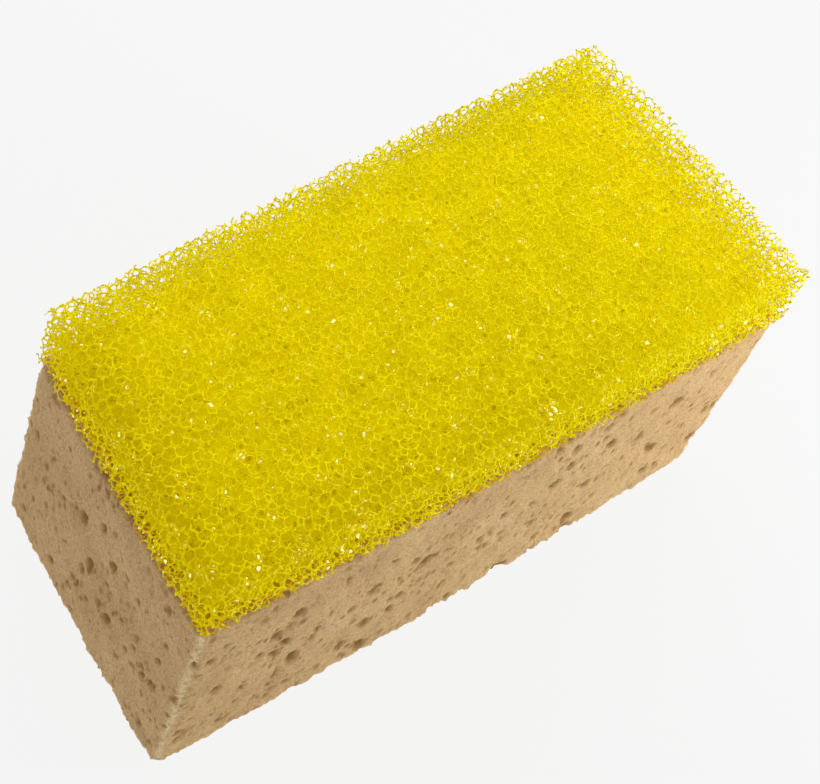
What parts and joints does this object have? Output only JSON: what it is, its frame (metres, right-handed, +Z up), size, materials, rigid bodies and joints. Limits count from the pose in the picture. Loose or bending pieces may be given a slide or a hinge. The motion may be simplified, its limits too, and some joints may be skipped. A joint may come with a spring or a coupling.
{
  "type": "grout sponge",
  "caption": "Two-layer block sponge for washing tile grout: a fine-pored foam block with a coarse open-cell scouring layer glued on its top.",
  "frame": {"origin": "middle of the bounding rectangle of the block's foot, on the surface that the sponge stands on", "axes": "+X along the long side, +Y across the width, +Z up from the fine-pored block through the glue film to the scouring layer"},
  "size_m": [0.1844, 0.0886, 0.083],
  "materials": {
    "fine_foam": "dry fine-celled sponge foam with scattered larger pores, fully matte",
    "glue_film": "thin uneven film of dried amber glue",
    "coarse_foam": "coarse open-cell foam of thin struts, slightly glossy"
  },
  "bodies": {
    "root": {"sponge_block": "fine_foam", "bond_layer": "glue_film", "scour_layer": "coarse_foam"}
  },
  "joints": []
}
